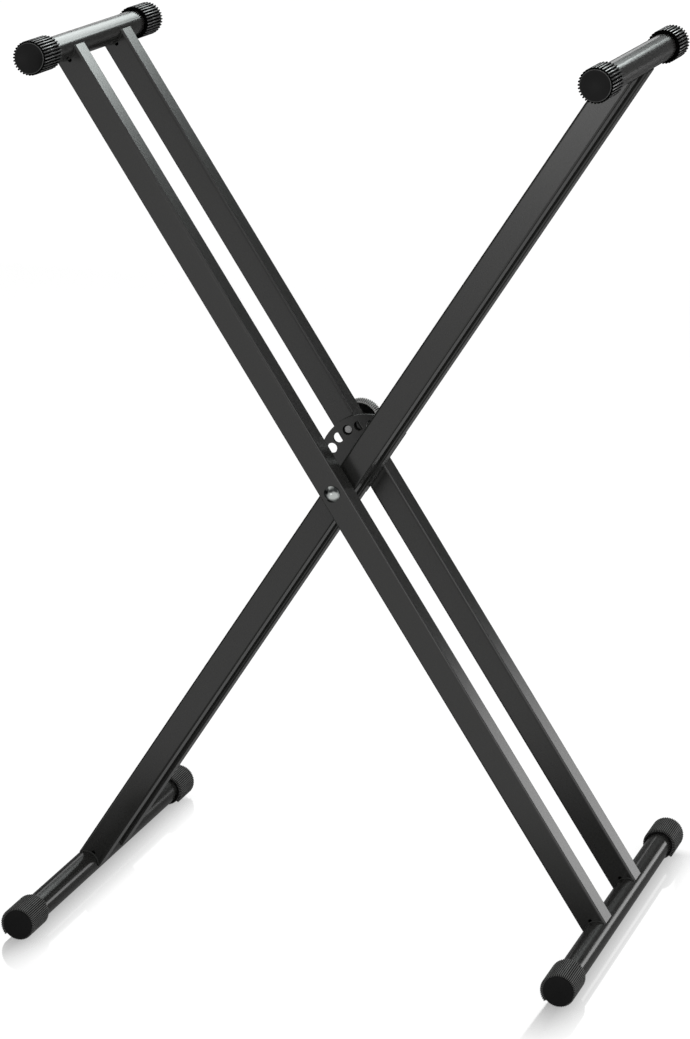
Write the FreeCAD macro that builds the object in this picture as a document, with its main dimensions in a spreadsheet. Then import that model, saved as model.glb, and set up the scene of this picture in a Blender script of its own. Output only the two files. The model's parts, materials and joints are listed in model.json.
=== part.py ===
import FreeCAD, Part
import math
import os
import types

import Sketcher
from FreeCAD import Placement, Rotation, Vector

# Folding keyboard stand: two nested frames of square tube that cross on one pivot bolt, like an X.
#
# Frame of the model: +Z up, +Y along the round rails, +X across the stand. The floor is Z = 0 and the
# origin lies on the floor under the pivot bolt, half way between the two outer legs.
# The outer frame runs from the upper left to the lower right, the inner frame from the upper right to
# the lower left. The inner frame turns about the pivot bolt, whose axis is parallel to Y.
#
# Every driving size is a cell of the sheet, in millimetres, degrees or a plain count.

SHEET_ROWS = (
    # the crossing and the legs
    ("opening_angle", 66, "angle between the two upper arms, in degrees"),
    ("arm_length", 490, "pivot to the axis of each round rail"),
    ("leg_side", 25, "outside of the square leg tube"),
    ("leg_wall", 1.5, "wall of the square leg tube"),
    ("leg_corner", 2.2, "outside corner radius of the square leg tube"),
    ("leg_end_lip", 5, "leg's square cut end to the rail's axis"),
    ("vent_radius", 2, "vent hole beside each coped end"),
    ("vent_distance", 14, "vent hole's centre to the rail's axis"),
    ("inner_leg_gap", 39, "clear gap between the two inner legs"),
    # the round rails
    ("rail_radius", 12.5, "outside of the round rails"),
    ("rail_wall", 1.5, "wall of the round rails"),
    ("top_rail_length", 300, "top rail without its caps"),
    ("foot_rail_length", 440, "foot rail without its caps"),
    # ribbed rubber caps on the top rails
    ("top_cap_length", 42, "length over all"),
    ("top_cap_base", 4, "thickness beyond the rail's end"),
    ("top_cap_radius", 16.1, "over the ribs"),
    ("top_cap_core", 14.4, "between the ribs"),
    ("top_cap_ribs", 32, "number of ribs"),
    ("top_cap_rib_root", 2.1, "width of a rib where it leaves the core"),
    ("top_cap_rib_tip", 1.1, "width of a rib at its tip"),
    ("top_cap_edge", 0.5, "bevel of the end disc's rim, and how far the ribs stop short of the face"),
    # levelling caps on the foot rails: a snail-shaped outline with fine ribs
    ("foot_cap_length", 40, "length over all"),
    ("foot_cap_base", 3.7, "thickness beyond the rail's end"),
    ("foot_cap_end_play", 0.3, "rail's end to the bottom of the cap"),
    ("foot_cap_low", 15.2, "rib tips just past the step"),
    ("foot_cap_high", 17.7, "rib tips just before the step"),
    ("foot_cap_ribs", 56, "number of ribs"),
    ("foot_cap_rib_depth", 0.75, "depth of the fine ribs"),
    ("foot_cap_disc", 14.4, "radius of the smooth end disc"),
    ("foot_cap_disc_height", 1, "how far the end disc stands out of the ribs"),
    # the pivot
    ("pivot_radius", 4, "pivot bolt"),
    ("pivot_head_radius", 7.9, "domed head"),
    ("pivot_head_height", 4.4, "domed head"),
    ("pivot_head_rim", 0.9, "straight edge of the domed head"),
    ("pivot_neck", 8.2, "square neck under the head"),
    ("pivot_bush_radius", 6, "bushes and sleeves on the pivot bolt"),
    ("front_washer", 3, "spacing washer between the two front legs"),
    ("rear_washer", 2, "spacing washer between lock plate and outer back leg"),
    ("washer_radius", 10, "spacing washers"),
    ("spacer_radius", 8, "spacer tube between the inner legs"),
    ("nut_washer_radius", 8, "flat washer under the pivot nut"),
    ("nut_washer_height", 1.6, "flat washer under the pivot nut"),
    ("nut_flats", 13, "pivot nut across its flats"),
    ("nut_height", 6, "hexagon of the pivot nut"),
    ("nut_collar_height", 2, "collar of the pivot nut that holds its locking ring"),
    ("nut_collar_radius", 5.6, "collar of the pivot nut"),
    ("bolt_end", 1.2, "pivot bolt's end past its nut"),
    ("running_clearance", 0.05, "radial clearance of what turns or slides"),
    # lock plate
    ("plate_radius", 51, "rounded edge of the lock plate"),
    ("plate_thickness", 2.5, "lock plate"),
    ("plate_tail", 24, "how far the plate runs down the leg past the pivot"),
    ("plate_sweep", 125, "end of the rounded edge, in degrees from the upper inner leg"),
    ("hole_circle", 40.3, "radius of the ring of lock holes"),
    ("hole_radius", 5.1, "lock hole"),
    ("hole_count", 5, "number of lock holes"),
    ("hole_pitch", 18, "angle between lock holes, in degrees"),
    ("holes_wider", 2, "lock holes on the wider side of the one in use"),
    # spring-loaded lock pin
    ("pin_radius", 4.85, "lock pin"),
    ("pin_tip_radius", 3.6, "flat end of the lock pin's nose"),
    ("pin_nose", 3, "length of the tapered nose"),
    ("pin_stand_off", 0.25, "pin's tip to the lock plate when it is drawn back"),
    ("pin_engage", 5, "travel from drawn back to home in a hole"),
    ("pin_front_length", 16, "full diameter and nose, up to the step"),
    ("pin_rear_radius", 4, "slimmer rear of the lock pin"),
    ("pin_groove_radius", 4.1, "bottom of the groove for the retaining clip"),
    ("bush_radius", 6.4, "guide bush in the leg's front wall"),
    ("bush_flange_radius", 8.4, "flange of the guide bush inside the leg"),
    ("bush_flange", 1.3, "thickness of that flange"),
    ("clip_height", 1, "retaining clip"),
    ("clip_radius", 7.2, "retaining clip"),
    ("spring_washer_height", 1, "washer between retaining clip and spring"),
    ("spring_washer_radius", 8, "washer between retaining clip and spring"),
    ("spring_wire", 1.1, "diameter of the spring's wire"),
    ("spring_radius", 6.4, "coil radius to the middle of the wire"),
    ("spring_turns", 4, "turns of the spring"),
    ("collar_radius", 7.5, "guide collar on the leg's back face"),
    ("collar_height", 3.5, "guide collar on the leg's back face"),
    # pull knob
    ("knob_stand_off", 9.5, "leg's back face to the knob's rim"),
    ("knob_depth", 12.3, "knob from rim to back"),
    ("knob_rim_radius", 19.4, "plain rim that faces the leg"),
    ("knob_rim_width", 2.2, "plain rim that faces the leg"),
    ("knob_core_radius", 20.4, "between the ribs"),
    ("knob_radius", 21.4, "over the ribs"),
    ("knob_ribs", 64, "number of ribs"),
    ("knob_rib_width", 1.1, "width of a rib"),
    ("knob_wall", 2.2, "wall of the knob's cup and back"),
    ("knob_hub_radius", 7, "hub around the pin"),
    ("knob_hub_length", 7.5, "hub's length inside the cup"),
    ("stud_radius", 3, "threaded end of the lock pin"),
    ("knob_nut_flats", 10, "nut behind the knob"),
    ("knob_nut_height", 5, "nut behind the knob"),
    ("stud_end", 1, "stud's end past its nut"),
)


class Size:
    """A value from the sheet, or worked out from it, together with the formula that binds it."""

    def __init__(self, value, formula):
        self.value = value
        self.formula = formula

    def combined(self, other, sign, value):
        return Size(value, f"({self.formula} {sign} {as_size(other).formula})")

    def __add__(self, other):
        return self.combined(other, "+", self.value + as_size(other).value)

    def __sub__(self, other):
        return self.combined(other, "-", self.value - as_size(other).value)

    def __mul__(self, other):
        return self.combined(other, "*", self.value * as_size(other).value)

    def __truediv__(self, other):
        return self.combined(other, "/", self.value / as_size(other).value)

    def __neg__(self):
        return Size(-self.value, f"(0 - {self.formula})")


def as_size(number):
    return number if isinstance(number, Size) else Size(number, repr(number))


def cosine(angle):
    return Size(math.cos(math.radians(angle.value)), f"cos({angle.formula} * 1 deg)")


def sine(angle):
    return Size(math.sin(math.radians(angle.value)), f"sin({angle.formula} * 1 deg)")


doc = FreeCAD.newDocument("keyboard_stand")
sheet = doc.addObject("Spreadsheet::Sheet", "sizes")
for row, (alias, number, meaning) in enumerate(SHEET_ROWS, start=1):
    sheet.set(f"A{row}", meaning)
    sheet.set(f"B{row}", str(number))
    sheet.setAlias(f"B{row}", alias)
doc.recompute()
dim = types.SimpleNamespace(
    **{alias: Size(float(sheet.get(alias)), f"sizes.{alias}") for alias, _, _ in SHEET_ROWS}
)
ZERO = as_size(0)

# ---------------------------------------------------------------- places that several pieces share

leg_half = dim.leg_side / 2
leg_angle = as_size(90) - dim.opening_angle / 2
frame_half_width = (
    dim.leg_side * 2
    + (dim.front_washer + dim.inner_leg_gap + dim.plate_thickness + dim.rear_washer) / 2
)
outer_front_y = leg_half - frame_half_width
outer_back_y = frame_half_width - leg_half
inner_front_y = outer_front_y + dim.leg_side + dim.front_washer
inner_back_y = inner_front_y + dim.leg_side + dim.inner_leg_gap
plate_front = inner_back_y + leg_half
plate_back = plate_front + dim.plate_thickness

# The stand rests on the middle of one flat rib tip of each foot cap, this many ribs past the step.
RIBS_PAST_STEP = 7.5
RIB_TIP_SHARE = 0.3  # of one rib's pitch, on the foot caps
foot_rib_angle = as_size(360) / dim.foot_cap_ribs
foot_rest_radius = dim.foot_cap_low + (
    (dim.foot_cap_high - dim.foot_cap_low) * RIBS_PAST_STEP / dim.foot_cap_ribs
)
foot_height = foot_rest_radius * cosine(foot_rib_angle * RIB_TIP_SHARE / 2)
pivot_height = foot_height + dim.arm_length * sine(leg_angle)
rail_reach = dim.arm_length * cosine(leg_angle)
top_height = pivot_height + dim.arm_length * sine(leg_angle)

# The lock pin stands on the outer back leg, up from the pivot by the radius of the hole circle.
lock_x = -dim.hole_circle * cosine(leg_angle)
lock_z = pivot_height + dim.hole_circle * sine(leg_angle)
pin_tip_y = plate_back + dim.pin_stand_off
leg_front_wall = outer_back_y - leg_half
leg_back_face = outer_back_y + leg_half
bush_back = leg_front_wall + dim.leg_wall + dim.bush_flange
clip_front = bush_back + dim.pin_engage
clip_back = clip_front + dim.clip_height
spring_front = clip_back + dim.spring_washer_height
spring_back = leg_back_face - dim.leg_wall
knob_rim_y = leg_back_face + dim.knob_stand_off
knob_back_y = knob_rim_y + dim.knob_depth
hub_front_y = knob_back_y - dim.knob_wall - dim.knob_hub_length

nodes = []


# ---------------------------------------------------------------- sketches and features


def new_body(label, x=ZERO, y=ZERO, z=ZERO, turn=None):
    """A sub-part at x, y, z, turned by so many degrees about +Y."""
    body = doc.addObject("PartDesign::Body", label)
    body.Label = label
    body.Placement = Placement(Vector(x.value, y.value, z.value), Rotation(Vector(0, 1, 0), 1))
    body.setExpression("Placement.Base.x", x.formula)
    body.setExpression("Placement.Base.y", y.formula)
    body.setExpression("Placement.Base.z", z.formula)
    body.setExpression("Placement.Rotation.Angle", (turn or ZERO).formula)
    nodes.append(body)
    return body


def add_sketch(body, role, offset=None):
    """A sketch on one of the body's origin planes, moved along that plane's normal."""
    sketch = body.newObject("Sketcher::SketchObject", f"{body.Label}_outline")
    plane = next(item for item in body.Origin.OriginFeatures if item.Role == role)
    sketch.AttachmentSupport = [(plane, "")]
    sketch.MapMode = "FlatFace"
    if offset is not None:
        sketch.AttachmentOffset = Placement(Vector(0, 0, offset.value), Rotation())
        sketch.setExpression("AttachmentOffset.Base.z", offset.formula)
    return sketch


def cross_sketch(body, y):
    """A sketch square to Y, at the body's own y. Its first axis is X and its second is Z."""
    return add_sketch(body, "XZ_Plane", -y)


def bind(sketch, kind, *where, size):
    index = sketch.addConstraint(Sketcher.Constraint(kind, *where, size.value))
    sketch.setExpression(f"Constraints[{index}]", size.formula)


def fix_point(sketch, edge, point, place):
    bind(sketch, "DistanceX", -1, 1, edge, point, size=as_size(place[0]))
    bind(sketch, "DistanceY", -1, 1, edge, point, size=as_size(place[1]))


def vector(place):
    return Vector(as_size(place[0]).value, as_size(place[1]).value, 0)


def add_circle(sketch, radius, centre=(0, 0)):
    circle = sketch.addGeometry(Part.Circle(vector(centre), Vector(0, 0, 1), radius.value))
    fix_point(sketch, circle, 3, centre)
    bind(sketch, "Radius", circle, size=radius)


def add_polygon(sketch, corners, dome_radius=None):
    """A closed outline. With a dome radius its first side is an arc about a centre on the second axis."""
    count = len(corners)
    edges = []
    for here, there in zip(corners, corners[1:] + corners[:1]):
        edges.append(sketch.addGeometry(Part.LineSegment(vector(here), vector(there))))
    if dome_radius is not None:
        crown = vector(corners[0])
        centre = crown + Vector(0, dome_radius.value, 0)
        circle = Part.Circle(centre, Vector(0, 0, 1), dome_radius.value)
        spread = math.asin(as_size(corners[1][0]).value / dome_radius.value)
        sketch.delGeometry(edges[0])
        arc = sketch.addGeometry(Part.ArcOfCircle(circle, -math.pi / 2, spread - math.pi / 2))
        edges = [arc] + [edge - 1 for edge in edges[1:]]
        bind(sketch, "Radius", arc, size=dome_radius)
    for place, edge in enumerate(edges):
        sketch.addConstraint(Sketcher.Constraint("Coincident", edge, 2, edges[(place + 1) % count], 1))
        fix_point(sketch, edge, 1, corners[place])


def add_rounded_square(sketch, side, corner):
    """A centred square whose four corner arcs and four sides meet tangentially."""
    inset = side / 2 - corner
    arcs = []
    for quarter, (right, up) in enumerate(((1, 1), (-1, 1), (-1, -1), (1, -1))):
        centre = (inset * right, inset * up)
        circle = Part.Circle(vector(centre), Vector(0, 0, 1), corner.value)
        start = quarter * math.pi / 2
        arc = sketch.addGeometry(Part.ArcOfCircle(circle, start, start + math.pi / 2))
        fix_point(sketch, arc, 3, centre)
        bind(sketch, "Radius", arc, size=corner)
        arcs.append(arc)
    for place, arc in enumerate(arcs):
        following = arcs[(place + 1) % len(arcs)]
        ends = (sketch.getPoint(arc, 2), sketch.getPoint(following, 1))
        side_line = sketch.addGeometry(Part.LineSegment(*ends))
        sketch.addConstraint(Sketcher.Constraint("Tangent", arc, 2, side_line, 1))
        sketch.addConstraint(Sketcher.Constraint("Tangent", side_line, 2, following, 1))


def add_feature(body, kind, sketch, length, reverse=False):
    feature = body.newObject(f"PartDesign::{kind}", f"{body.Label}_{kind.lower()}")
    feature.Profile = sketch
    feature.setExpression("Length", length.formula)
    feature.Reversed = reverse
    body.Tip = feature
    sketch.Visibility = False
    return feature


def pad_y(body, sketch, length):
    """Builds a cross sketch up towards +Y."""
    return add_feature(body, "Pad", sketch, length, reverse=True)


def cut_y(body, sketch, depth):
    """Cuts a cross sketch away towards +Y, and makes sure that it met the solid."""
    doc.recompute()
    before = body.Shape.Volume
    feature = add_feature(body, "Pocket", sketch, depth)
    doc.recompute()
    if not body.Shape.Volume < before:
        raise RuntimeError(f"{body.Label}: a cut missed the solid")
    return feature


def turned(body, corners, dome_radius=None):
    """Revolves a closed outline of (radius, y) corners once about the body's own Y axis."""
    sketch = add_sketch(body, "XY_Plane")
    add_polygon(sketch, corners, dome_radius)
    feature = body.newObject("PartDesign::Revolution", f"{body.Label}_turned")
    feature.Profile = sketch
    feature.ReferenceAxis = (sketch, ["V_Axis"])
    feature.Angle = 360
    body.Tip = feature
    return feature


def ring(label, outer, inner, start, length, x=ZERO, z=ZERO):
    """A round washer, bush or sleeve along Y."""
    body = new_body(label, x, start, z)
    sketch = cross_sketch(body, ZERO)
    add_circle(sketch, outer)
    add_circle(sketch, inner)
    pad_y(body, sketch, length)
    return body


def repeat_round(body, feature, count):
    """Copies a feature round the body's own Y axis, evenly over the full turn."""
    pattern = body.newObject("PartDesign::PolarPattern", f"{body.Label}_pattern")
    pattern.Originals = [feature]
    axis = next(item for item in body.Origin.OriginFeatures if item.Role == "Y_Axis")
    pattern.Axis = (axis, [""])
    pattern.Angle = 360
    pattern.setExpression("Occurrences", count.formula)
    body.Tip = pattern


# ---------------------------------------------------------------- frames


def leg(label, y, turn):
    """A square tube, coped at both ends to sit on the round rails, with the pivot hole and two vents."""
    body = new_body(label, ZERO, y, pivot_height, turn)
    cut_end = dim.arm_length - dim.leg_end_lip
    sketch = add_sketch(body, "YZ_Plane", -cut_end)
    add_rounded_square(sketch, dim.leg_side, dim.leg_corner)
    add_rounded_square(sketch, dim.leg_side - dim.leg_wall * 2, dim.leg_corner - dim.leg_wall)
    add_feature(body, "Pad", sketch, cut_end * 2)
    copes = cross_sketch(body, -dim.leg_side)
    vents = cross_sketch(body, -leg_half)
    for end in (-1, 1):
        add_circle(copes, dim.rail_radius, (dim.arm_length * end, ZERO))
        add_circle(vents, dim.vent_radius, ((dim.arm_length - dim.vent_distance) * end, ZERO))
    cut_y(body, copes, dim.leg_side * 2)
    cut_y(body, vents, dim.leg_wall)
    return body


def drill(body, radius, start, depth, place=(0, 0)):
    sketch = cross_sketch(body, start)
    add_circle(sketch, radius, place)
    cut_y(body, sketch, depth)


bolt_hole = dim.pivot_radius + dim.running_clearance
bush_hole = dim.pivot_bush_radius + dim.running_clearance

outer_leg_front = leg("outer_leg_front", outer_front_y, leg_angle)
drill(outer_leg_front, bolt_hole, leg_half - dim.leg_wall * 2, dim.leg_wall * 2)
neck_hole = cross_sketch(outer_leg_front, -leg_half)
neck_hole_half = dim.pivot_neck / 2 + dim.running_clearance
neck_hole_corners = [(neck_hole_half * right, neck_hole_half * up)
                     for right, up in ((-1, -1), (1, -1), (1, 1), (-1, 1))]
add_polygon(neck_hole, neck_hole_corners)
cut_y(outer_leg_front, neck_hole, dim.leg_wall)

outer_leg_back = leg("outer_leg_back", outer_back_y, leg_angle)
drill(outer_leg_back, bolt_hole, -leg_half, dim.leg_side)
lock_place = (-dim.hole_circle, ZERO)
drill(outer_leg_back, dim.bush_radius, -leg_half, dim.leg_wall, lock_place)
drill(outer_leg_back, dim.pin_rear_radius + dim.leg_wall, leg_half - dim.leg_wall, dim.leg_wall, lock_place)

inner_leg_front = leg("inner_leg_front", inner_front_y, -leg_angle)
inner_leg_back = leg("inner_leg_back", inner_back_y, -leg_angle)
for inner_leg in (inner_leg_front, inner_leg_back):
    drill(inner_leg, bush_hole, -leg_half, dim.leg_side)


def rail(label, side, height, length):
    """A round rail; side is -1 on the left and 1 on the right."""
    inner = dim.rail_radius - dim.rail_wall
    return ring(label, dim.rail_radius, inner, -length / 2, length, rail_reach * side, height)


rail("outer_top_rail", -1, top_height, dim.top_rail_length)
rail("outer_foot_rail", 1, foot_height, dim.foot_rail_length)
rail("inner_top_rail", 1, top_height, dim.top_rail_length)
rail("inner_foot_rail", -1, foot_height, dim.foot_rail_length)


# ---------------------------------------------------------------- rubber caps


def top_cap(label, side, end):
    """A ribbed cup over a top rail's end. end is -1 at the front and 1 at the back."""
    face = (dim.top_rail_length / 2 + dim.top_cap_base) * end
    body = new_body(label, rail_reach * side, face, top_height)
    base = -dim.top_cap_base * end
    mouth = -dim.top_cap_length * end
    bevel = -dim.top_cap_edge * end
    turned(body, [
        (ZERO, ZERO),
        (dim.top_cap_core - dim.top_cap_edge, ZERO),
        (dim.top_cap_core, bevel),
        (dim.top_cap_core, mouth),
        (dim.rail_radius, mouth),
        (dim.rail_radius, base),
        (ZERO, base),
    ])
    rib_length = dim.top_cap_length - dim.top_cap_edge
    rib_start = mouth if end > 0 else dim.top_cap_edge
    sketch = cross_sketch(body, rib_start)
    foot = dim.top_cap_core - dim.top_cap_edge
    half_root = dim.top_cap_rib_root / 2
    half_tip = dim.top_cap_rib_tip / 2
    add_polygon(sketch, [
        (foot, -half_root),
        (dim.top_cap_radius, -half_tip),
        (dim.top_cap_radius, half_tip),
        (foot, half_root),
    ])
    rib = pad_y(body, sketch, rib_length)
    repeat_round(body, rib, dim.top_cap_ribs)
    return body


def snail_outline(end):
    """The foot cap's ribbed outline: rib tips on a spiral that drops back to its low radius in one step.

    It turns left seen from the cap's own end face, so the back caps are the front ones seen from behind.
    """
    count = int(round(dim.foot_cap_ribs.value))
    pitch = math.radians(foot_rib_angle.value)
    step_angle = 1.5 * math.pi - RIBS_PAST_STEP * pitch
    rise = (dim.foot_cap_high.value - dim.foot_cap_low.value) / count
    corners = []
    for rib in range(count):
        tip = dim.foot_cap_low.value + rise * (rib + 0.5)
        root = tip - dim.foot_cap_rib_depth.value
        middle = step_angle + (rib + 0.5) * pitch
        half_tip = pitch * RIB_TIP_SHARE / 2
        half_root = pitch * (1 - RIB_TIP_SHARE) / 2
        for radius, angle in ((root, -half_root), (tip, -half_tip), (tip, half_tip), (root, half_root)):
            across = -end * radius * math.cos(middle + angle)
            corners.append(Vector(across, 0, radius * math.sin(middle + angle)))
    return corners


def foot_cap(label, side, end):
    """A levelling cap that turns on a foot rail's end. end is -1 at the front and 1 at the back."""
    corners = snail_outline(end)
    out = Vector(0, end, 0)
    disc = dim.foot_cap_disc_height.value
    length = dim.foot_cap_length.value
    bore = dim.rail_radius.value + dim.running_clearance.value
    depth = length - dim.foot_cap_base.value
    outline = Part.Face(Part.makePolygon(corners + corners[:1]))
    ribbed = outline.extrude(out * (length - disc))
    end_disc = Part.makeCylinder(dim.foot_cap_disc.value, length, Vector(), out)
    hollow = Part.makeCylinder(bore, depth, Vector(), out)
    cap = doc.addObject("Part::Feature", label)
    cap.Label = label
    cap.Shape = ribbed.fuse(end_disc).cut(hollow).removeSplitter()
    face = dim.foot_rail_length / 2 + dim.foot_cap_end_play + dim.foot_cap_base
    mouth = (face - dim.foot_cap_length) * end
    cap.Placement = Placement(Vector((rail_reach * side).value, mouth.value, foot_height.value), Rotation())
    cap.setExpression("Placement.Base.x", (rail_reach * side).formula)
    cap.setExpression("Placement.Base.y", mouth.formula)
    cap.setExpression("Placement.Base.z", foot_height.formula)
    nodes.append(cap)
    return cap


for frame_name, top_side in (("outer", -1), ("inner", 1)):
    for place, end in (("front", -1), ("back", 1)):
        top_cap(f"{frame_name}_top_cap_{place}", top_side, end)
        foot_cap(f"{frame_name}_foot_cap_{place}", -top_side, end)

# ---------------------------------------------------------------- pivot

leg_front_face = outer_front_y - leg_half
bolt_stack = leg_back_face - leg_front_face + dim.nut_washer_height + dim.nut_height
bolt_length = bolt_stack + dim.nut_collar_height + dim.bolt_end

pivot_bolt = new_body("pivot_bolt", ZERO, leg_front_face, pivot_height, leg_angle)
dome_rise = dim.pivot_head_height - dim.pivot_head_rim
dome_radius = (dim.pivot_head_radius * dim.pivot_head_radius + dome_rise * dome_rise) / (dome_rise * 2)
bolt_outline = [
    (ZERO, -dim.pivot_head_height),
    (dim.pivot_head_radius, -dim.pivot_head_rim),
    (dim.pivot_head_radius, ZERO),
    (dim.pivot_radius, ZERO),
    (dim.pivot_radius, bolt_length),
    (ZERO, bolt_length),
]
turned(pivot_bolt, bolt_outline, dome_radius)
neck = cross_sketch(pivot_bolt, ZERO)
add_polygon(neck, [(dim.pivot_neck / 2 * right, dim.pivot_neck / 2 * up)
                   for right, up in ((-1, -1), (1, -1), (1, 1), (-1, 1))])
pad_y(pivot_bolt, neck, dim.leg_wall)

sleeve_length = dim.leg_side - dim.leg_wall * 2
ring("outer_sleeve_front", dim.pivot_bush_radius, bolt_hole, outer_front_y - sleeve_length / 2,
     sleeve_length, z=pivot_height)
ring("outer_sleeve_back", dim.pivot_bush_radius, bolt_hole, outer_back_y - sleeve_length / 2,
     sleeve_length, z=pivot_height)
ring("inner_bush_front", dim.pivot_bush_radius, bolt_hole, inner_front_y - leg_half,
     dim.leg_side, z=pivot_height)
ring("inner_bush_back", dim.pivot_bush_radius, bolt_hole, inner_back_y - leg_half,
     dim.leg_side, z=pivot_height)
ring("inner_spacer_tube", dim.spacer_radius, bolt_hole, inner_front_y + leg_half,
     dim.inner_leg_gap, z=pivot_height)
ring("front_spacing_washer", dim.washer_radius, bolt_hole, outer_front_y + leg_half,
     dim.front_washer, z=pivot_height)
ring("rear_spacing_washer", dim.washer_radius, bolt_hole, plate_back, dim.rear_washer, z=pivot_height)
ring("pivot_nut_washer", dim.nut_washer_radius, bolt_hole, leg_back_face,
     dim.nut_washer_height, z=pivot_height)


def hexagon(flats):
    """Corners of a centred hexagon of that width across its flats."""
    reach = flats / 2 / cosine(as_size(30))
    return [(reach * cosine(as_size(60 * k)), reach * sine(as_size(60 * k))) for k in range(6)]


pivot_nut = new_body("pivot_nut", ZERO, leg_back_face + dim.nut_washer_height, pivot_height)
nut_outline = cross_sketch(pivot_nut, ZERO)
add_polygon(nut_outline, hexagon(dim.nut_flats))
add_circle(nut_outline, dim.pivot_radius)
pad_y(pivot_nut, nut_outline, dim.nut_height)
collar_outline = cross_sketch(pivot_nut, dim.nut_height)
add_circle(collar_outline, dim.nut_collar_radius)
add_circle(collar_outline, dim.pivot_radius)
pad_y(pivot_nut, collar_outline, dim.nut_collar_height)

# ---------------------------------------------------------------- lock plate

# A fan on the back of the inner back leg. Its own X runs up the leg and its own Z away from it.
lock_plate = new_body("lock_plate", ZERO, plate_front, pivot_height, -leg_angle)
plate_outline = cross_sketch(lock_plate, ZERO)
add_circle(plate_outline, dim.plate_radius)
pad_y(lock_plate, plate_outline, dim.plate_thickness)
beyond = dim.plate_radius * 2
sweep_end = (dim.plate_radius * cosine(dim.plate_sweep), dim.plate_radius * sine(dim.plate_sweep))
trim = cross_sketch(lock_plate, ZERO)
add_polygon(trim, [
    (beyond, -leg_half),
    (-dim.plate_tail, -leg_half),
    sweep_end,
    (sweep_end[0] - dim.plate_radius, beyond),
    (-beyond * 2, beyond),
    (-beyond * 2, -beyond),
    (beyond, -beyond),
])
cut_y(lock_plate, trim, dim.plate_thickness)
drill(lock_plate, bolt_hole, ZERO, dim.plate_thickness)
lock_holes = cross_sketch(lock_plate, ZERO)
for index in range(int(dim.hole_count.value)):
    angle = dim.opening_angle + dim.hole_pitch * (dim.holes_wider - index)
    place = (dim.hole_circle * cosine(angle), dim.hole_circle * sine(angle))
    add_circle(lock_holes, dim.hole_radius, place)
cut_y(lock_plate, lock_holes, dim.plate_thickness)

# ---------------------------------------------------------------- lock pin and knob

pin_body = {"x": lock_x, "z": lock_z}

lock_bush = new_body("lock_guide_bush", lock_x, leg_front_wall, lock_z)
bush_inner = dim.pin_radius + dim.running_clearance
turned(lock_bush, [
    (bush_inner, ZERO),
    (dim.bush_radius, ZERO),
    (dim.bush_radius, dim.leg_wall),
    (dim.bush_flange_radius, dim.leg_wall),
    (dim.bush_flange_radius, dim.leg_wall + dim.bush_flange),
    (bush_inner, dim.leg_wall + dim.bush_flange),
])
ring("lock_guide_collar", dim.collar_radius, dim.pin_rear_radius + dim.running_clearance,
     leg_back_face, dim.collar_height, **pin_body)

lock_pin = new_body("lock_pin", lock_x, pin_tip_y, lock_z)
groove_front = clip_front - pin_tip_y
groove_back = clip_back - pin_tip_y
stud_front = hub_front_y - pin_tip_y
stud_back = knob_back_y + dim.knob_nut_height + dim.stud_end - pin_tip_y
turned(lock_pin, [
    (ZERO, ZERO),
    (dim.pin_tip_radius, ZERO),
    (dim.pin_radius, dim.pin_nose),
    (dim.pin_radius, groove_front),
    (dim.pin_groove_radius, groove_front),
    (dim.pin_groove_radius, groove_back),
    (dim.pin_radius, groove_back),
    (dim.pin_radius, dim.pin_front_length),
    (dim.pin_rear_radius, dim.pin_front_length),
    (dim.pin_rear_radius, stud_front),
    (dim.stud_radius, stud_front),
    (dim.stud_radius, stud_back),
    (ZERO, stud_back),
])

lock_clip = new_body("lock_retaining_clip", lock_x, clip_front, lock_z)
clip_outline = cross_sketch(lock_clip, ZERO)
add_circle(clip_outline, dim.clip_radius)
add_circle(clip_outline, dim.pin_groove_radius)
pad_y(lock_clip, clip_outline, dim.clip_height)
clip_mouth = cross_sketch(lock_clip, ZERO)
mouth_half = dim.pin_groove_radius * 0.8
add_polygon(clip_mouth, [
    (-mouth_half, ZERO),
    (mouth_half, ZERO),
    (mouth_half, -dim.clip_radius * 2),
    (-mouth_half, -dim.clip_radius * 2),
])
cut_y(lock_clip, clip_mouth, dim.clip_height)

ring("lock_spring_washer", dim.spring_washer_radius, dim.pin_radius + dim.running_clearance,
     clip_back, dim.spring_washer_height, **pin_body)

lock_knob = new_body("lock_knob", lock_x, knob_rim_y, lock_z)
knob_floor = dim.knob_depth - dim.knob_wall
hub_front = knob_floor - dim.knob_hub_length
turned(lock_knob, [
    (dim.stud_radius, hub_front),
    (dim.knob_hub_radius, hub_front),
    (dim.knob_hub_radius, knob_floor),
    (dim.knob_rim_radius - dim.knob_wall / 2, knob_floor),
    (dim.knob_rim_radius - dim.knob_wall / 2, ZERO),
    (dim.knob_rim_radius, ZERO),
    (dim.knob_core_radius, dim.knob_rim_width),
    (dim.knob_core_radius, dim.knob_depth - dim.knob_wall / 2),
    (dim.knob_core_radius - dim.knob_wall / 2, dim.knob_depth),
    (dim.stud_radius, dim.knob_depth),
])
knob_rib_outline = cross_sketch(lock_knob, dim.knob_rim_width)
knob_rib_foot = dim.knob_core_radius - dim.knob_wall / 2
add_polygon(knob_rib_outline, [
    (knob_rib_foot, -dim.knob_rib_width / 2),
    (dim.knob_radius, -dim.knob_rib_width / 4),
    (dim.knob_radius, dim.knob_rib_width / 4),
    (knob_rib_foot, dim.knob_rib_width / 2),
])
knob_rib = pad_y(lock_knob, knob_rib_outline, dim.knob_depth - dim.knob_rim_width - dim.knob_wall / 2)
repeat_round(lock_knob, knob_rib, dim.knob_ribs)

knob_nut = new_body("lock_knob_nut", lock_x, knob_back_y, lock_z)
knob_nut_outline = cross_sketch(knob_nut, ZERO)
add_polygon(knob_nut_outline, hexagon(dim.knob_nut_flats))
add_circle(knob_nut_outline, dim.stud_radius)
pad_y(knob_nut, knob_nut_outline, dim.knob_nut_height)


WIRE_SIDES = 8


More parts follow.
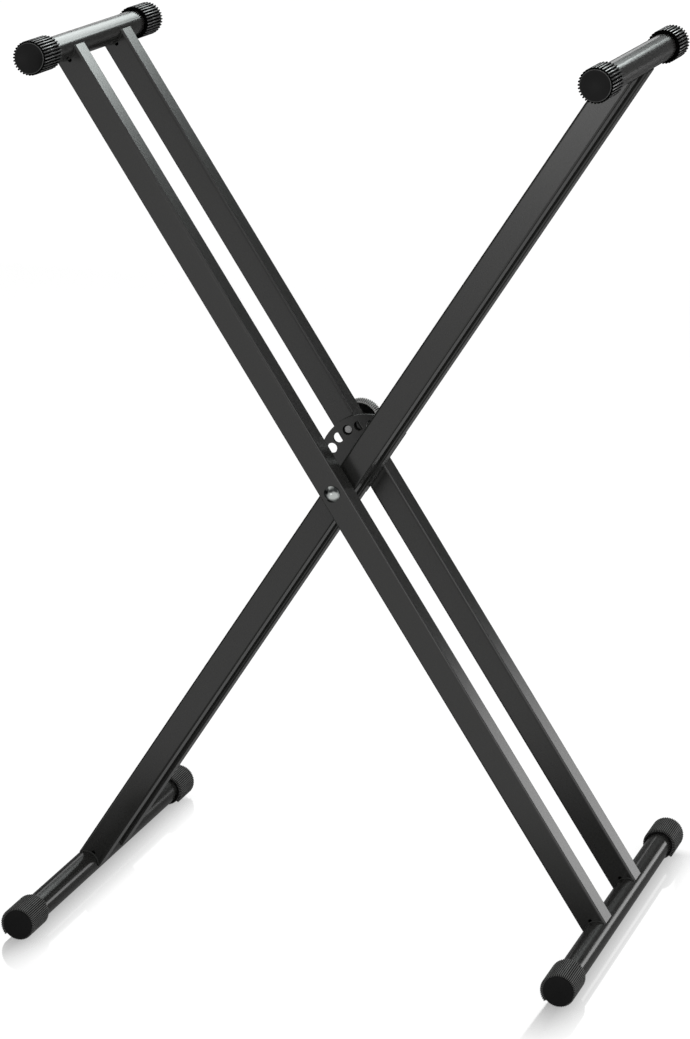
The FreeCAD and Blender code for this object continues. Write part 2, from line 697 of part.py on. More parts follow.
def arc_from(start, direction, finish):
    """The arc that leaves start in that direction and ends at finish, and its direction there."""
    chord = finish - start
    half_turn = direction.getAngle(chord)
    towards = chord - direction * direction.dot(chord)
    towards.normalize()
    radius = chord.Length / (2 * math.sin(half_turn))
    crown = start + direction * (radius * math.sin(half_turn)) + towards * (radius * (1 - math.cos(half_turn)))
    leaving = direction * math.cos(2 * half_turn) + towards * math.sin(2 * half_turn)
    return Part.Arc(start, crown, finish).toShape(), leaving


def coil_spring(label, front, back, x, z):
    """A compression spring along Y as one tube on pairs of arcs, two for each quarter turn."""
    wire = dim.spring_wire.value
    radius = dim.spring_radius.value
    turns = dim.spring_turns.value
    rise = (back.value - front.value - wire) / (2 * math.pi * turns)
    quarters = int(round(turns * 4))

    def on_coil(angle):
        return Vector(radius * math.cos(angle), wire / 2 + rise * angle, radius * math.sin(angle))

    def along_coil(angle):
        heading = Vector(-radius * math.sin(angle), rise, radius * math.cos(angle))
        return heading.normalize()

    edges = []
    for quarter in range(quarters):
        first, last = quarter * math.pi / 2, (quarter + 1) * math.pi / 2
        start, finish = on_coil(first), on_coil(last)
        leaving, arriving = along_coil(first), along_coil(last)
        both = leaving + arriving
        span = finish - start
        bend = 2 * (1 - leaving.dot(arriving))
        reach = (-span.dot(both) + math.sqrt(span.dot(both) ** 2 + bend * span.dot(span))) / bend
        joint = (start + leaving * reach + finish - arriving * reach) * 0.5
        first_arc, heading = arc_from(start, leaving, joint)
        second_arc, _ = arc_from(joint, heading, finish)
        edges += [first_arc, second_arc]
    start = on_coil(0)
    side = Vector(wire / 2, 0, 0)
    corners = [start + Rotation(along_coil(0), 360 / WIRE_SIDES * k).multVec(side) for k in range(WIRE_SIDES)]
    section = Part.makePolygon(corners + corners[:1])
    points = [on_coil(2 * math.pi * turns * k / 400) for k in range(401)]
    apart = int(400 / turns / 2)
    gap = min(a.distanceToPoint(b) for k, a in enumerate(points) for b in points[k + apart:]) - wire
    print(f"{label}: {turns:g} turns, least gap to itself {gap:.2f} mm")
    spring = doc.addObject("Part::Feature", label)
    spring.Label = label
    spring.Shape = Part.Wire(edges).makePipeShell([section], True, False)
    spring.Placement = Placement(Vector(x.value, front.value, z.value), Rotation())
    spring.setExpression("Placement.Base.x", x.formula)
    spring.setExpression("Placement.Base.y", front.formula)
    spring.setExpression("Placement.Base.z", z.formula)
    nodes.append(spring)


coil_spring("lock_spring", spring_front, spring_back, lock_x, lock_z)

# ---------------------------------------------------------------- check and write

doc.recompute()
for item in doc.Objects:
    if "Invalid" in item.State or "Error" in item.State:
        raise RuntimeError(f"{item.Label} failed: {item.State}")
for node in nodes:
    if node.Shape.isNull() or not node.Shape.isValid() or node.Shape.Volume <= 0:
        raise RuntimeError(f"{node.Label} has no valid solid")

os.makedirs("parts", exist_ok=True)
for node in nodes:
    node.Shape.exportStep(f"parts/{node.Label}.step")
print(f"{len(nodes)} sub-parts written")
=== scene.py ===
import json
import math

import bmesh
import bpy
from mathutils import Matrix, Vector


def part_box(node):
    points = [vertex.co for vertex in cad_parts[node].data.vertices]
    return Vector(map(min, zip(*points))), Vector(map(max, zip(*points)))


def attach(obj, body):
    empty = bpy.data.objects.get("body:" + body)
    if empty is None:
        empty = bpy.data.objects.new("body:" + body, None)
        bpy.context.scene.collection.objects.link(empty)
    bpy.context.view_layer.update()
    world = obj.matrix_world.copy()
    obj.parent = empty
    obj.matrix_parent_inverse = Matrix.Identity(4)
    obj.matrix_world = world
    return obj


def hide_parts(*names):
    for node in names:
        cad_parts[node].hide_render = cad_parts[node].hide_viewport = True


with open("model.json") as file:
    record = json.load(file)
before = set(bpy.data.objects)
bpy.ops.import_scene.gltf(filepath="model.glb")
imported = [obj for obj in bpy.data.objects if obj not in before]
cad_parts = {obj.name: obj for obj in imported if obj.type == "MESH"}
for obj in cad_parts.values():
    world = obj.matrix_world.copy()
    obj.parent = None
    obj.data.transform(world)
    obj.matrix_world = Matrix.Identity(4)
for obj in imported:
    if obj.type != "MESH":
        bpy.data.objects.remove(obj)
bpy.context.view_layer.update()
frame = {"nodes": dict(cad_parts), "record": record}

MM = 0.001

# ---------------------------------------------------------------- sizes that the looks share

LEG_SIDE = 25 * MM
RAIL_RADIUS = 12.5 * MM


def middle(node):
    low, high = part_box(node)
    return (low + high) / 2


PIVOT = middle("inner_spacer_tube")
RAIL_PLACES = {
    "outer_top": middle("outer_top_rail"),
    "outer_foot": middle("outer_foot_rail"),
    "inner_top": middle("inner_top_rail"),
    "inner_foot": middle("inner_foot_rail"),
}

# ---------------------------------------------------------------- camera

PHOTO_WIDTH = 690
PHOTO_HEIGHT = 1039
FOCAL_PIXELS = 3654.6
PRINCIPAL_X = 343.7
PRINCIPAL_Y = 519.8
CAMERA_AZIMUTH = math.radians(17.67)
CAMERA_ELEVATION = math.radians(15.07)
CAMERA_ROLL = math.radians(0.18)
CAMERA_DISTANCE = 3453.4 * MM
CAMERA_SIDEWAYS = 11.1 * MM
CAMERA_UPWARDS = -24.2 * MM
CAMERA_REACH = 50
SENSOR_WIDTH = 36.0


def add_camera():
    """Stands where the photograph was taken from: a long lens, a little to the right and above."""
    level = math.cos(CAMERA_ELEVATION)
    towards = Vector((math.sin(CAMERA_AZIMUTH) * level, -math.cos(CAMERA_AZIMUTH) * level,
                      math.sin(CAMERA_ELEVATION)))
    right = Vector((math.cos(CAMERA_AZIMUTH), math.sin(CAMERA_AZIMUTH), 0))
    up = towards.cross(right)
    rolled_right = right * math.cos(CAMERA_ROLL) + up * math.sin(CAMERA_ROLL)
    rolled_up = up * math.cos(CAMERA_ROLL) - right * math.sin(CAMERA_ROLL)
    aim = Vector((0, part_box("outer_leg_front")[0].y, PIVOT.z))
    place = aim + towards * CAMERA_DISTANCE + rolled_right * CAMERA_SIDEWAYS + rolled_up * CAMERA_UPWARDS
    lens = bpy.data.cameras.new("photo_camera")
    lens.sensor_fit = "HORIZONTAL"
    lens.sensor_width = SENSOR_WIDTH
    lens.lens = FOCAL_PIXELS / PHOTO_WIDTH * SENSOR_WIDTH
    lens.shift_x = (PHOTO_WIDTH / 2 - PRINCIPAL_X) / PHOTO_WIDTH
    lens.shift_y = (PRINCIPAL_Y - PHOTO_HEIGHT / 2) / PHOTO_WIDTH
    lens.clip_end = CAMERA_REACH
    camera = bpy.data.objects.new("photo_camera", lens)
    axes = Matrix((rolled_right, rolled_up, towards)).transposed()
    camera.matrix_world = Matrix.Translation(place) @ axes.to_4x4()
    bpy.context.scene.collection.objects.link(camera)
    bpy.context.scene.camera = camera


add_camera()

# ---------------------------------------------------------------- shader nodes


def add_node(tree, kind, **settings):
    node = tree.nodes.new(kind)
    for key, value in settings.items():
        setattr(node, key, value)
    return node


def calculated(tree, operation, *values):
    """The result of a Math node. Each value is a socket or a plain number."""
    node = add_node(tree, "ShaderNodeMath", operation=operation)
    for place, value in enumerate(values):
        if isinstance(value, (int, float)):
            node.inputs[place].default_value = value
        else:
            tree.links.new(value, node.inputs[place])
    return node.outputs["Value"]


def ramp(tree, value, low, high, at_low=0.0, at_high=1.0, easing="LINEAR"):
    """Runs from at_low to at_high as value goes from low to high."""
    node = add_node(tree, "ShaderNodeMapRange", interpolation_type=easing)
    for name, number in (("From Min", low), ("From Max", high), ("To Min", at_low), ("To Max", at_high)):
        node.inputs[name].default_value = number
    tree.links.new(value, node.inputs["Value"])
    return node.outputs["Result"]


def blend(tree, kind, share, first, second):
    """Goes from the first colour or number to the second as share goes from 0 to 1."""
    node = add_node(tree, "ShaderNodeMix", data_type=kind)
    for value, socket_name in ((share, "Factor"), (first, "A"), (second, "B")):
        tree.links.new(value, node.inputs[socket_name])
    return node.outputs["Result"]


def noise(tree, vector, scale, detail):
    node = add_node(tree, "ShaderNodeTexNoise")
    node.inputs["Scale"].default_value = scale
    node.inputs["Detail"].default_value = detail
    tree.links.new(vector, node.inputs["Vector"])
    return node.outputs["Fac"]


# ---------------------------------------------------------------- shader groups

PEEL_DEPTH = 0.2 * MM
GRAIN_DEPTH = 0.1 * MM
MARK_DEPTH = 0.05 * MM
TURNING_STRETCH = (1, 14, 1)
PATCH_START = 0.38
PATCH_END = 0.6
CREST_EDGE = 0.24
CREST_TOP = 0.1

FINISH_INPUTS = {"Coordinates": "Vector", "Dark": "Color", "Light": "Color", "Smooth": "Float",
                 "Rough": "Float", "Relief": "Float"}
FINISH_OUTPUTS = {"Color": "Color", "Roughness": "Float", "Normal": "Vector"}


def new_group(name, inputs, outputs):
    """A shader node group with its two end nodes. The sockets are given as {name: kind}."""
    group = bpy.data.node_groups.new(name, "ShaderNodeTree")
    for sockets, direction in ((inputs, "INPUT"), (outputs, "OUTPUT")):
        for socket_name, kind in sockets.items():
            group.interface.new_socket(name=socket_name, in_out=direction, socket_type=f"NodeSocket{kind}")
    return group, group.nodes.new("NodeGroupInput"), group.nodes.new("NodeGroupOutput")


def connect_finish(group, start, end, colour_share, gloss_share, relief, depth):
    """Blends a finish's two colours and its two roughnesses, and raises its relief."""
    colour = blend(group, "RGBA", colour_share, start.outputs["Dark"], start.outputs["Light"])
    roughness = blend(group, "FLOAT", gloss_share, start.outputs["Smooth"], start.outputs["Rough"])
    bump = add_node(group, "ShaderNodeBump")
    bump.inputs["Distance"].default_value = depth
    group.links.new(start.outputs["Relief"], bump.inputs["Strength"])
    group.links.new(relief, bump.inputs["Height"])
    group.links.new(colour, end.inputs["Color"])
    group.links.new(roughness, end.inputs["Roughness"])
    group.links.new(bump.outputs["Normal"], end.inputs["Normal"])


def make_coat_group():
    """Powder coat: orange peel, soft clouds in the gloss and a fine speckle in the colour."""
    group, start, end = new_group("powder_coat", FINISH_INPUTS, FINISH_OUTPUTS)
    where = start.outputs["Coordinates"]
    clouds = noise(group, where, scale=9, detail=3)
    speckle = noise(group, where, scale=900, detail=2)
    peel = noise(group, where, scale=420, detail=1.5)
    connect_finish(group, start, end, speckle, clouds, peel, PEEL_DEPTH)
    return group


def make_moulding_group():
    """Moulded rubber and plastic: fine spark-eroded grain and faint flow marks."""
    group, start, end = new_group("moulded_grain", FINISH_INPUTS, FINISH_OUTPUTS)
    where = start.outputs["Coordinates"]
    flow = noise(group, where, scale=60, detail=3)
    grain = noise(group, where, scale=2200, detail=2)
    connect_finish(group, start, end, flow, flow, grain, GRAIN_DEPTH)
    return group


def make_plating_group():
    """Plated steel: cloudy zinc, or chrome whose near-black cloudy patches are painted reflections, with fine
    turning marks.
    """
    group, start, end = new_group("plated_metal", FINISH_INPUTS, FINISH_OUTPUTS)
    where = start.outputs["Coordinates"]
    clouds = noise(group, where, scale=120, detail=1)
    patches = ramp(group, clouds, PATCH_START, PATCH_END, easing="SMOOTHSTEP")
    stretch = add_node(group, "ShaderNodeMapping")
    stretch.inputs["Scale"].default_value = TURNING_STRETCH
    group.links.new(where, stretch.inputs["Vector"])
    marks = noise(group, stretch.outputs["Vector"], scale=420, detail=2)
    connect_finish(group, start, end, patches, marks, marks, MARK_DEPTH)
    return group


def make_rib_group():
    """1 on the crests of ribs round an axis along Y and on a plain rim inside them, else 0: the mask of a
    painted highlight.
    """
    group, start, end = new_group(
        "rib_crests",
        {"Coordinates": "Vector", "Axis X": "Float", "Axis Z": "Float", "Count": "Float", "Inside": "Float",
         "Rim Inside": "Float"},
        {"Crest": "Float"},
    )
    axes = add_node(group, "ShaderNodeSeparateXYZ")
    group.links.new(start.outputs["Coordinates"], axes.inputs["Vector"])
    # the rails of both sides stand as far from the middle, so X is taken without its sign
    sideways = calculated(group, "ABSOLUTE", axes.outputs["X"])
    across = calculated(group, "SUBTRACT", sideways, start.outputs["Axis X"])
    up = calculated(group, "SUBTRACT", axes.outputs["Z"], start.outputs["Axis Z"])
    turns = calculated(group, "DIVIDE", calculated(group, "ARCTAN2", up, across), math.tau)
    phase = calculated(group, "ADD", calculated(group, "MULTIPLY", turns, start.outputs["Count"]), 0.5)
    from_middle = calculated(group, "SUBTRACT", calculated(group, "FRACT", phase), 0.5)
    off_crest = calculated(group, "ABSOLUTE", from_middle)
    crest = ramp(group, off_crest, CREST_EDGE, CREST_TOP, easing="SMOOTHSTEP")
    squares = [calculated(group, "POWER", value, 2) for value in (across, up)]
    radius = calculated(group, "SQRT", calculated(group, "ADD", *squares))
    outside = calculated(group, "GREATER_THAN", radius, start.outputs["Inside"])
    ribbed = calculated(group, "MULTIPLY", crest, outside)
    past_rim = calculated(group, "GREATER_THAN", radius, start.outputs["Rim Inside"])
    rim = calculated(group, "SUBTRACT", past_rim, outside)
    group.links.new(calculated(group, "MAXIMUM", ribbed, rim), end.inputs["Crest"])
    return group


COAT = make_coat_group()
RIBS = make_rib_group()
MOULDING = make_moulding_group()
PLATING = make_plating_group()

# ---------------------------------------------------------------- materials


def grey(level):
    return (level, level, level)


def new_material(name):
    """A material with nothing in it but its output."""
    material = bpy.data.materials.new(name)
    material.use_nodes = True
    material.node_tree.nodes.clear()
    return material, material.node_tree, add_node(material.node_tree, "ShaderNodeOutputMaterial")


def finish_material(name, group, colours, roughness, relief, metallic=0.0, specular=0.5):
    """A material whose colour, gloss and fine relief come from one of the groups."""
    material, tree, output = new_material(name)
    shader = add_node(tree, "ShaderNodeBsdfPrincipled")
    shader.inputs["Metallic"].default_value = metallic
    shader.inputs["Specular IOR Level"].default_value = specular
    where = add_node(tree, "ShaderNodeTexCoord")
    effect = add_node(tree, "ShaderNodeGroup")
    effect.node_tree = group
    for socket_name, colour in zip(("Dark", "Light"), colours):
        effect.inputs[socket_name].default_value = (*colour, 1)
    for socket_name, value in zip(("Smooth", "Rough", "Relief"), (*roughness, relief)):
        effect.inputs[socket_name].default_value = value
    links = tree.links
    links.new(where.outputs["Object"], effect.inputs["Coordinates"])
    links.new(effect.outputs["Color"], shader.inputs["Base Color"])
    links.new(effect.outputs["Roughness"], shader.inputs["Roughness"])
    links.new(effect.outputs["Normal"], shader.inputs["Normal"])
    links.new(shader.outputs["BSDF"], output.inputs["Surface"])
    return material


def paint_crest_highlights(material, node, count, rim_inside, inside, crest):
    """Paints the crests of a ribbed moulding, and a plain rim inside them where one is given, paler than the
    grooves between them: a painted highlight.
    """
    tree = material.node_tree
    shader, effect, where = (
        next(item for item in tree.nodes if item.type == kind)
        for kind in ("BSDF_PRINCIPLED", "GROUP", "TEX_COORD")
    )
    centre = middle(node)
    ribs = add_node(tree, "ShaderNodeGroup")
    ribs.node_tree = RIBS
    ribs.inputs["Axis X"].default_value = abs(centre.x)
    ribs.inputs["Axis Z"].default_value = centre.z
    ribs.inputs["Count"].default_value = count
    ribs.inputs["Inside"].default_value = inside
    ribs.inputs["Rim Inside"].default_value = rim_inside
    tree.links.new(where.outputs["Object"], ribs.inputs["Coordinates"])
    mix = add_node(tree, "ShaderNodeMix", data_type="RGBA")
    mix.inputs["B"].default_value = (*crest, 1)
    tree.links.new(ribs.outputs["Crest"], mix.inputs["Factor"])
    tree.links.new(effect.outputs["Color"], mix.inputs["A"])
    tree.links.new(mix.outputs["Result"], shader.inputs["Base Color"])


COAT_COLOURS = ((0.009, 0.009, 0.0084), (0.017, 0.017, 0.016))
FRAME_BLACK = finish_material("frame_black_coat", COAT, COAT_COLOURS,
                              roughness=(0.17, 0.21), relief=0.006, specular=0.41)
WELD_BLACK = finish_material("weld_black_coat", COAT, COAT_COLOURS,
                             roughness=(0.42, 0.55), relief=0.04, specular=0.25)
PLATE_BLACK = finish_material("plate_black_coat", COAT, COAT_COLOURS,
                              roughness=(0.3, 0.36), relief=0.03, specular=0.41)

# Painted highlight and painted shade on the top caps: the rib crests and the rim are painted paler and
# glossier than the cap face, and the grooves between the ribs are painted near black with almost no shine.
CAP_RIB_HIGHLIGHT = finish_material("cap_rib_rubber_painted_highlight", MOULDING, (grey(0.03), grey(0.05)),
                          roughness=(0.2, 0.3), relief=0.1)
CAP_GROOVE_SHADE = finish_material("cap_groove_rubber_painted_shade", MOULDING, (grey(0.001), grey(0.002)),
                             roughness=(0.6, 0.8), relief=0.1, specular=0.02)
CAP_RUBBER = finish_material("cap_rubber", MOULDING, (grey(0.003), grey(0.007)),
                             roughness=(0.3, 0.42), relief=0.2, specular=0.12)

FOOT_CAP_RIBS = 56
FOOT_CAP_ROOT = 14.5 * MM
FOOT_CAP_RUBBER = finish_material("foot_cap_rubber", MOULDING, (grey(0.002), grey(0.006)),
                                  roughness=(0.35, 0.5), relief=0.15, specular=0.12)
# painted highlight: the foot caps' rib crests are painted pale grey
paint_crest_highlights(FOOT_CAP_RUBBER, "inner_foot_rail", FOOT_CAP_RIBS, FOOT_CAP_ROOT, FOOT_CAP_ROOT,
               crest=(0.12, 0.12, 0.117))

KNOB_RIBS = 64
KNOB_RIM = 18.4 * MM
KNOB_ROOT = 19.5 * MM
KNOB_PLASTIC = finish_material("knob_plastic", MOULDING, (grey(0.01), grey(0.018)),
                               roughness=(0.28, 0.4), relief=0.2)
# painted highlight: the knob's rib crests and its rim line are painted pale grey
paint_crest_highlights(KNOB_PLASTIC, "lock_knob", KNOB_RIBS, KNOB_RIM, KNOB_ROOT, crest=(0.4, 0.4, 0.39))

NYLON = finish_material("black_nylon", MOULDING, (grey(0.01), grey(0.016)),
                        roughness=(0.35, 0.45), relief=0.1)
# painted reflection: the chrome head's colour is darkened, and its near-black cloudy patches stand in for
# dark reflections
CHROME_PAINTED_REFLECTIONS = finish_material("bolt_head_chrome_painted_reflections", PLATING, ((0.03, 0.032, 0.032), (0.42, 0.44, 0.43)),
                         roughness=(0.12, 0.2), relief=0.05, metallic=1.0)
# painted shade: the pin's steel is painted dark grey for the shade and dark reflections of the hole it sits
# in
PIN_STEEL_SHADED = finish_material("pin_steel_painted_shade", PLATING, (grey(0.14), grey(0.22)),
                            roughness=(0.3, 0.4), relief=0.1, metallic=1.0)
ZINC = finish_material("zinc_plate", PLATING, ((0.42, 0.43, 0.43), (0.62, 0.63, 0.62)),
                       roughness=(0.24, 0.42), relief=0.2, metallic=1.0)
SPRING_WIRE = finish_material("spring_wire", PLATING, (grey(0.3), (0.45, 0.45, 0.44)),
                              roughness=(0.25, 0.4), relief=0.2, metallic=1.0)

NODE_FINISHES = {
    "frame_coat": FRAME_BLACK,
    "plate_coat": PLATE_BLACK,
    "cap_rubber": CAP_RUBBER,
    "knob_plastic": KNOB_PLASTIC,
    "washer_plastic": NYLON,
    "bush_plastic": NYLON,
    "bright_steel": CHROME_PAINTED_REFLECTIONS,
    "zinc_steel": ZINC,
    "spring_steel": SPRING_WIRE,
}
for part in frame["record"]["subparts"]:
    mesh = frame["nodes"][part["node"]].data
    mesh.materials.clear()
    finish = NODE_FINISHES[part["material_slot"]]
    if part["node"] == "lock_pin":
        finish = PIN_STEEL_SHADED
    elif "foot_cap" in part["node"]:
        finish = FOOT_CAP_RUBBER
    mesh.materials.append(finish)

# ---------------------------------------------------------------- new pieces


def finish_piece(bm, name, body, material):
    """Turns a bmesh into a piece that rides on a body of the frame."""
    bmesh.ops.recalc_face_normals(bm, faces=bm.faces)
    for face in bm.faces:
        face.smooth = True
    mesh = bpy.data.meshes.new(name)
    bm.to_mesh(mesh)
    bm.free()
    mesh.materials.append(material)
    piece = bpy.data.objects.new(name, mesh)
    bpy.context.scene.collection.objects.link(piece)
    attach(piece, body)
    return piece


BEAD_RADIUS = 1.0 * MM
BEAD_SINK = 0.1 * MM
BEAD_FROM_EDGE = 0.6 * MM
BEAD_SHARE = 0.93
BEAD_SIDES = 10
BEAD_STEPS = 14


def add_saddle_bead(bm, rail, towards_leg, face_y):
    """A weld bead round the coped end, on one face of a leg. The bead is a bent round bar."""
    half_width = LEG_SIDE / 2 - BEAD_FROM_EDGE
    half_angle = math.asin(half_width / RAIL_RADIUS * BEAD_SHARE)
    centre = Vector((rail.x, face_y, rail.z))
    turn = Matrix.Rotation(-half_angle, 4, "Y")
    start = turn @ (towards_leg * (RAIL_RADIUS + BEAD_SINK))
    across = Vector((0, 1, 0))
    outward = start.normalized()
    circle = bmesh.ops.create_circle(bm, segments=BEAD_SIDES, radius=BEAD_RADIUS, cap_ends=False)
    axes = Matrix((outward, across, outward.cross(across))).transposed().to_4x4()
    place = Matrix.Translation(centre + start) @ axes
    bmesh.ops.transform(bm, matrix=place, verts=circle["verts"])
    ring = list({edge for vert in circle["verts"] for edge in vert.link_edges})
    spun = bmesh.ops.spin(bm, geom=circle["verts"] + ring, cent=centre, axis=(0, 1, 0),
                          angle=half_angle * 2, steps=BEAD_STEPS, use_merge=False)
    last = [item for item in spun["geom_last"] if isinstance(item, bmesh.types.BMEdge)]
    for loop in (ring, last):
        bmesh.ops.holes_fill(bm, edges=loop)


def make_welds(frame_name):
    bm = bmesh.new()
    legs = [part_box(f"{frame_name}_leg_front"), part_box(f"{frame_name}_leg_back")]
    for end in ("top", "foot"):
        rail = RAIL_PLACES[f"{frame_name}_{end}"]
        towards_leg = Vector((PIVOT.x - rail.x, 0, PIVOT.z - rail.z)).normalized()
        for low, high in legs:
            for face_y in (low.y, high.y):
                add_saddle_bead(bm, rail, towards_leg, face_y)
    finish_piece(bm, f"{frame_name}_welds", f"{frame_name}_frame", WELD_BLACK)


make_welds("outer")
make_welds("inner")

CAP_CORE = 14.4 * MM
CAP_CREST = 16.1 * MM
CAP_RIBS = 32
CAP_RIM = 0.5 * MM
CAP_RIM_SINK = 0.05 * MM
CAP_FACE_SINK = 0.15 * MM
CAP_SEGMENTS = 96
MOUTH_GAP = 0.2 * MM
MOUTH_DEPTH = 2 * MM
RIB_ROOT = 2.1 * MM
RIB_TIP = 1.1 * MM
RIB_SINK = 0.4 * MM
RIB_ROUNDING = 0.2 * MM
# crests and rim take the painted highlight material, groove walls and the core the painted shade material
RIB_HIGHLIGHT_MATERIAL, GROOVE_SHADE_MATERIAL, FACE_MATERIAL = range(3)


def add_turned(bm, profile, material_index):
    """Turns a chain of (radius, height) corners once round the Z axis."""
    known = set(bm.faces)
    verts = [bm.verts.new((radius, 0, height)) for radius, height in profile]
    edges = [bm.edges.new(pair) for pair in zip(verts, verts[1:])]
    bmesh.ops.spin(bm, geom=verts + edges, cent=(0, 0, 0), axis=(0, 0, 1), angle=math.tau,
                   steps=CAP_SEGMENTS, use_merge=True)
    bmesh.ops.remove_doubles(bm, verts=bm.verts, dist=0.001 * MM)
    for face in bm.faces:
        if face not in known:
            face.material_index = material_index


def add_ribs(bm, count, length):
    """Tapered bars with rounded crests round the Z axis, from the cup's mouth up."""
    verts = bmesh.ops.create_cube(bm, size=1)["verts"]
    height = CAP_CREST - CAP_CORE + RIB_SINK
    bmesh.ops.scale(bm, vec=(height, RIB_ROOT, length), verts=verts)
    crest = [vert for vert in verts if vert.co.x > 0]
    bmesh.ops.scale(bm, vec=(1, RIB_TIP / RIB_ROOT, 1), verts=crest)
    bmesh.ops.translate(bm, vec=(CAP_CREST - height / 2, 0, length / 2), verts=verts)
    for face in bm.faces:
        face.material_index = GROOVE_SHADE_MATERIAL
    ridge = [edge for edge in bm.edges if all(vert in crest for vert in edge.verts)]
    rounded = bmesh.ops.bevel(bm, geom=ridge, offset=RIB_ROUNDING, segments=3, profile=0.5,
                              affect="EDGES", material=-1)
    top = [face for face in bm.faces if face.normal.x > 0.9]
    for face in rounded["faces"] + top:
        face.material_index = RIB_HIGHLIGHT_MATERIAL
    bmesh.ops.spin(bm, geom=bm.verts[:] + bm.edges[:] + bm.faces[:], cent=(0, 0, 0), axis=(0, 0, 1),
                   angle=math.tau * (count - 1) / count, steps=count - 1, use_duplicate=True)


def make_top_cap(node, body):
    """A rubber cup: a turned core with a softened rim and a slightly sunk face, and ribs along it."""
    low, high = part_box(node)
    centre = (low + high) / 2
    length = high.y - low.y
    shoulder = (CAP_CORE, length - CAP_RIM)
    rim_inside = (CAP_CORE - CAP_RIM, length)
    step = CAP_RIM / 3
    bm = bmesh.new()
    add_ribs(bm, CAP_RIBS, length - CAP_RIM)
    mouth_radius = RAIL_RADIUS + MOUTH_GAP
    add_turned(bm, [(mouth_radius, MOUTH_DEPTH), (mouth_radius, 0), (CAP_CORE, 0), shoulder], GROOVE_SHADE_MATERIAL)
    # the rim's bevel takes the paler crest material: a painted highlight line
    add_turned(bm, [shoulder, (CAP_CORE - step * 0.4, length - step * 1.2),
                    (CAP_CORE - step * 1.2, length - step * 0.4), rim_inside], RIB_HIGHLIGHT_MATERIAL)
    add_turned(bm, [rim_inside, (CAP_CORE - CAP_RIM * 1.8, length - CAP_RIM_SINK),
                    (CAP_CORE - CAP_RIM * 2.2, length - CAP_FACE_SINK), (0, length - CAP_FACE_SINK)],
               FACE_MATERIAL)
    end = 1 if centre.y > 0 else -1
    outward = Matrix.Rotation(-math.pi / 2 * end, 4, "X")
    mouth = Vector((centre.x, low.y if end > 0 else high.y, centre.z))
    bmesh.ops.transform(bm, matrix=Matrix.Translation(mouth) @ outward, verts=bm.verts)
    piece = finish_piece(bm, f"{node}_moulding", body, CAP_RIB_HIGHLIGHT)
    piece.data.materials.append(CAP_GROOVE_SHADE)
    piece.data.materials.append(CAP_RUBBER)
    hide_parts(node)


for frame_name in ("outer", "inner"):
    for place in ("front", "back"):
        make_top_cap(f"{frame_name}_top_cap_{place}", f"{frame_name}_frame")

# ---------------------------------------------------------------- floor

FLOOR_SIZE = 30.0
FLOOR_GLOW = 1.09
FLOOR_WHITE = 0.9
FLOOR_ROUGHNESS = 0.04
PAPER_SHARE = 0.12
SHINE_AT_CONTACT = 0.56
SHINE_WIDTH = 42 * MM
SHADE_IN_REFLECTIONS = 0.85
SHADE_FROM_Y = -0.45
SHADE_TO_Y = -0.15


def any_view_ray(tree, path):
    """1 for a camera, glossy or transmission ray, and 0 for the rest."""
    seen = calculated(tree, "MAXIMUM", path.outputs["Is Camera Ray"], path.outputs["Is Glossy Ray"])
    return calculated(tree, "MAXIMUM", seen, path.outputs["Is Transmission Ray"])


def mixed(tree, share, first, second):
    """Goes from the first shader to the second as share goes from 0 to 1."""
    node = add_node(tree, "ShaderNodeMixShader")
    for place, value in enumerate((share, first, second)):
        tree.links.new(value, node.inputs[place])
    return node.outputs["Shader"]


def shine_beside_rails(tree, across, along):
    """How much the floor mirrors: a strip at the foot of each rail, fading away from it."""
    strips = []
    for name in ("outer_foot", "inner_foot"):
        rail_x = RAIL_PLACES[name].x
        fading = ramp(tree, across, rail_x, rail_x + SHINE_WIDTH, SHINE_AT_CONTACT, 0)
        begun = ramp(tree, across, rail_x - SHINE_WIDTH, rail_x - SHINE_WIDTH / 2)
        strips.append(calculated(tree, "MULTIPLY", fading, begun))
    strip = calculated(tree, "MAXIMUM", *strips)
    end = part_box("inner_foot_cap_back")[1].y
    front = ramp(tree, along, -end - SHINE_WIDTH * 2.5, -end)
    back = ramp(tree, along, end - SHINE_WIDTH / 2, end, 1, 0)
    return calculated(tree, "MULTIPLY", strip, calculated(tree, "MULTIPLY", front, back))


def floor_material():
    """White paper, glossy at the feet: the camera sees it white, with the stand's shadow and reflection."""
    material, tree, output = new_material("white_floor")
    path = add_node(tree, "ShaderNodeLightPath")
    where = add_node(tree, "ShaderNodeTexCoord")
    axes = add_node(tree, "ShaderNodeSeparateXYZ")
    tree.links.new(where.outputs["Object"], axes.inputs["Vector"])
    across = axes.outputs["X"]
    along = axes.outputs["Y"]
    behind = ramp(tree, along, SHADE_FROM_Y, SHADE_TO_Y, 0, SHADE_IN_REFLECTIONS)
    lit = calculated(tree, "SUBTRACT", 1, calculated(tree, "MULTIPLY", behind, path.outputs["Is Glossy Ray"]))
    paper = add_node(tree, "ShaderNodeBsdfDiffuse")
    tree.links.new(calculated(tree, "MULTIPLY", lit, FLOOR_WHITE), paper.inputs["Color"])
    glow = add_node(tree, "ShaderNodeEmission")
    tree.links.new(calculated(tree, "MULTIPLY", lit, FLOOR_GLOW), glow.inputs["Strength"])
    gloss = add_node(tree, "ShaderNodeBsdfGlossy")
    gloss.inputs["Roughness"].default_value = FLOOR_ROUGHNESS
    gloss.inputs["Color"].default_value = (1, 1, 1, 1)
    white = calculated(tree, "MULTIPLY", any_view_ray(tree, path), 1 - PAPER_SHARE)
    base = mixed(tree, white, paper.outputs["BSDF"], glow.outputs["Emission"])
    strips = shine_beside_rails(tree, across, along)
    shine = calculated(tree, "MULTIPLY", path.outputs["Is Camera Ray"], strips)
    tree.links.new(mixed(tree, shine, base, gloss.outputs["BSDF"]), output.inputs["Surface"])
    return material


# ---------------------------------------------------------------- cards and light

